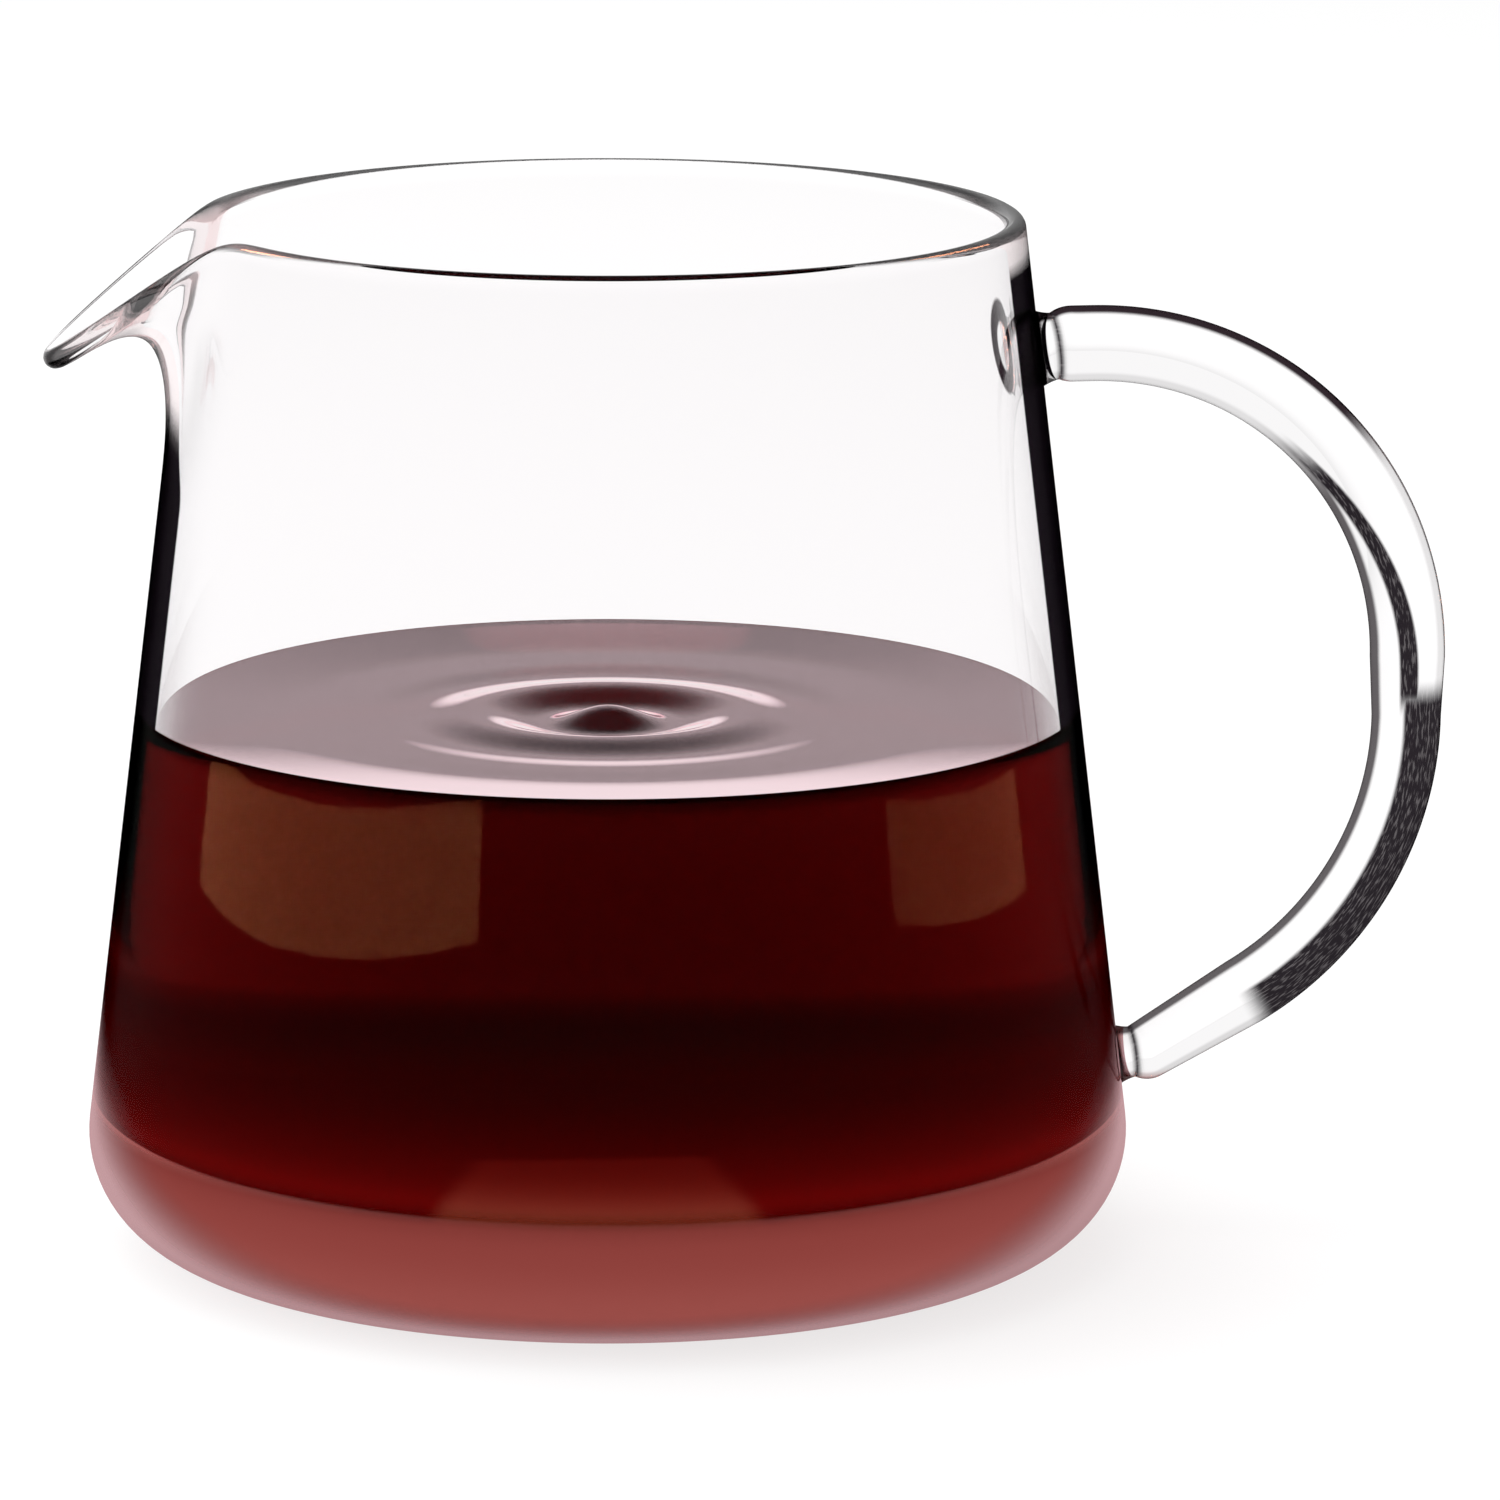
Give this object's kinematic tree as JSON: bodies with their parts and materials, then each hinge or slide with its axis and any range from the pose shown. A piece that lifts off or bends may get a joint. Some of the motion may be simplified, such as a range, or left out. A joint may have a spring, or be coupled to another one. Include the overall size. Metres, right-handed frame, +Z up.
{
  "type": "glass jug",
  "caption": "Small heat-proof glass pouring jug that tapers from a thick rounded foot, with a drawn beak, a bent glass rod handle and dark red tea up to half its height.",
  "frame": {"origin": "centre of the foot's underside, on the jug's own axis", "axes": "+Z up along the jug's axis, +X towards the handle, -X towards the beak"},
  "size_m": [0.1448, 0.107, 0.1062],
  "materials": {
    "clear_glass": "clear, fire-polished",
    "tea": null
  },
  "bodies": {
    "root": {"jug": "clear_glass", "tea": "tea"}
  },
  "joints": []
}
